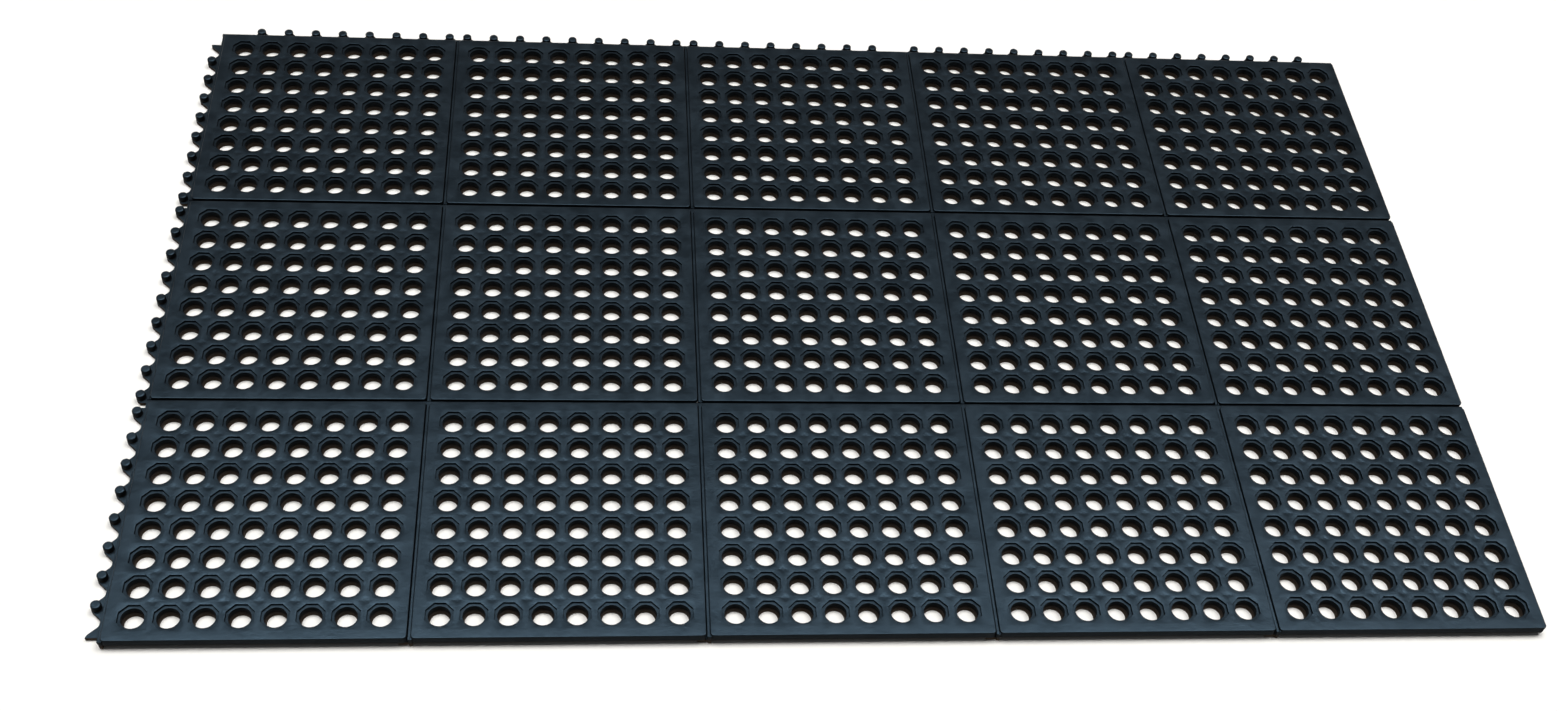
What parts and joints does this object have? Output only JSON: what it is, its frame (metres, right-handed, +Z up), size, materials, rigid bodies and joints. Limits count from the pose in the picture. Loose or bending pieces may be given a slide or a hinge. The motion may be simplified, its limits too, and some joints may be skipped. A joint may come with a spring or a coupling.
{
  "type": "anti fatigue mat",
  "caption": "Flat drainage mat of square moulded rubber tiles with round holes in octagonal recesses, joined by tongues with knobs that hook under the next tile's edge.",
  "frame": {"origin": "middle of the mat's bounding box, on the floor that it lies on", "axes": "+X along the longer side, to the right as the picture shows it; +Y to the back, away from the camera; +Z up"},
  "size_m": [1.5378, 0.928, 0.0159],
  "materials": {
    "rubber": "satin moulded black rubber with a blue cast"
  },
  "bodies": {
    "front_tile_5": {"front_tile_5": "rubber"},
    "middle_tile_5": {"middle_tile_5": "rubber"},
    "back_tile_5": {"back_tile_5": "rubber"},
    "front_tile_4": {"front_tile_4": "rubber"},
    "middle_tile_4": {"middle_tile_4": "rubber"},
    "back_tile_4": {"back_tile_4": "rubber"},
    "front_tile_3": {"front_tile_3": "rubber"},
    "middle_tile_3": {"middle_tile_3": "rubber"},
    "back_tile_3": {"back_tile_3": "rubber"},
    "front_tile_2": {"front_tile_2": "rubber"},
    "middle_tile_2": {"middle_tile_2": "rubber"},
    "back_tile_2": {"back_tile_2": "rubber"},
    "front_tile_1": {"front_tile_1": "rubber"},
    "middle_tile_1": {"middle_tile_1": "rubber"},
    "back_tile_1": {"back_tile_1": "rubber"}
  },
  "joints": [
    {"name": "lift_middle_tile_5", "type": "slide", "parent": "front_tile_5", "child": "middle_tile_5", "axis": [0, 0, 1], "range_m": [0, 0.02]},
    {"name": "lift_back_tile_5", "type": "slide", "parent": "middle_tile_5", "child": "back_tile_5", "axis": [0, 0, 1], "range_m": [0, 0.02]},
    {"name": "lift_front_tile_4", "type": "slide", "parent": "back_tile_5", "child": "front_tile_4", "axis": [0, 0, 1], "range_m": [0, 0.02]},
    {"name": "lift_middle_tile_4", "type": "slide", "parent": "front_tile_4", "child": "middle_tile_4", "axis": [0, 0, 1], "range_m": [0, 0.02]},
    {"name": "lift_back_tile_4", "type": "slide", "parent": "middle_tile_4", "child": "back_tile_4", "axis": [0, 0, 1], "range_m": [0, 0.02]},
    {"name": "lift_front_tile_3", "type": "slide", "parent": "back_tile_4", "child": "front_tile_3", "axis": [0, 0, 1], "range_m": [0, 0.02]},
    {"name": "lift_middle_tile_3", "type": "slide", "parent": "front_tile_3", "child": "middle_tile_3", "axis": [0, 0, 1], "range_m": [0, 0.02]},
    {"name": "lift_back_tile_3", "type": "slide", "parent": "middle_tile_3", "child": "back_tile_3", "axis": [0, 0, 1], "range_m": [0, 0.02]},
    {"name": "lift_front_tile_2", "type": "slide", "parent": "back_tile_3", "child": "front_tile_2", "axis": [0, 0, 1], "range_m": [0, 0.02]},
    {"name": "lift_middle_tile_2", "type": "slide", "parent": "front_tile_2", "child": "middle_tile_2", "axis": [0, 0, 1], "range_m": [0, 0.02]},
    {"name": "lift_back_tile_2", "type": "slide", "parent": "middle_tile_2", "child": "back_tile_2", "axis": [0, 0, 1], "range_m": [0, 0.02]},
    {"name": "lift_front_tile_1", "type": "slide", "parent": "back_tile_2", "child": "front_tile_1", "axis": [0, 0, 1], "range_m": [0, 0.02]},
    {"name": "lift_middle_tile_1", "type": "slide", "parent": "front_tile_1", "child": "middle_tile_1", "axis": [0, 0, 1], "range_m": [0, 0.02]},
    {"name": "lift_back_tile_1", "type": "slide", "parent": "middle_tile_1", "child": "back_tile_1", "axis": [0, 0, 1], "range_m": [0, 0.02]}
  ]
}
